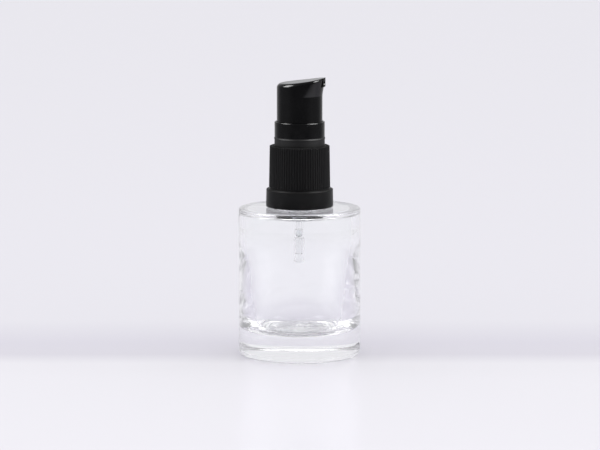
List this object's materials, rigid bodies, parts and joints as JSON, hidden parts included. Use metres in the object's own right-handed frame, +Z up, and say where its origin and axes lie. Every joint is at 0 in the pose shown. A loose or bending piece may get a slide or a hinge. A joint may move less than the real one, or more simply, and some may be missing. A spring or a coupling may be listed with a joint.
{
  "type": "foundation bottle",
  "caption": "Clear glass cylinder with a heavy base, closed by a black screw-on treatment pump with a ribbed closure, a chaplet and a slanted push-button nozzle.",
  "frame": {"origin": "middle of the base, on the surface that the bottle stands on", "axes": "+Z up along the bottle's axis, +X towards the nozzle"},
  "size_m": [0.041, 0.041, 0.0938],
  "materials": {
    "clear_glass": "clear flint glass, fire polished",
    "ball_glass": "clear ball",
    "gloss_black": "glossy moulded polypropylene",
    "satin_black": "satin moulded polypropylene",
    "natural_plastic": "natural, milky polypropylene",
    "white_plastic": "white polyethylene",
    "spring_steel": "drawn stainless wire"
  },
  "bodies": {
    "bottle": {"glass_bottle": "clear_glass"},
    "pump": {"pump_housing": "natural_plastic", "neck_gasket": "white_plastic", "dip_tube": "natural_plastic", "chaplet": "gloss_black", "turret_ring": "white_plastic", "return_spring": "spring_steel"},
    "screw_closure": {"closure": "satin_black"},
    "plunger": {"stem": "natural_plastic", "piston_seat": "natural_plastic"},
    "push_button": {"actuator_head": "gloss_black"},
    "pump_piston": {"piston": "white_plastic"},
    "valve_ball": {"inlet_ball": "ball_glass"}
  },
  "joints": [
    {"name": "pump_lift", "type": "slide", "parent": "bottle", "child": "pump", "axis": [0, 0, 1], "range_m": [0, 0.0048]},
    {"name": "closure_turn", "type": "hinge", "parent": "pump", "child": "screw_closure", "pos_m": [0, 0, 0.0608], "axis": [0, 0, 1], "range_deg": [0, 540]},
    {"name": "pump_stroke", "type": "slide", "parent": "pump", "child": "plunger", "axis": [0, 0, -1], "range_m": [0, 0.0042], "stiffness_N_per_m": 1500, "springref_m": -0.001, "deforming": ["return_spring"]},
    {"name": "head_swivel", "type": "hinge", "parent": "plunger", "child": "push_button", "pos_m": [0, 0, 0.084], "axis": [0, 0, 1], "continuous": true},
    {"name": "piston_slide", "type": "slide", "parent": "pump", "child": "pump_piston", "axis": [0, 0, -1], "range_m": [0, 0.0036]},
    {"name": "ball_lift", "type": "slide", "parent": "pump", "child": "valve_ball", "axis": [0, 0, 1], "range_m": [0, 0.0008]}
  ],
  "couplings": [
    {"joint": "pump_lift", "follows": "closure_turn", "m_per_rad": 0.00050531},
    {"joint": "piston_slide", "follows": "pump_stroke", "ratio": 0.857}
  ]
}
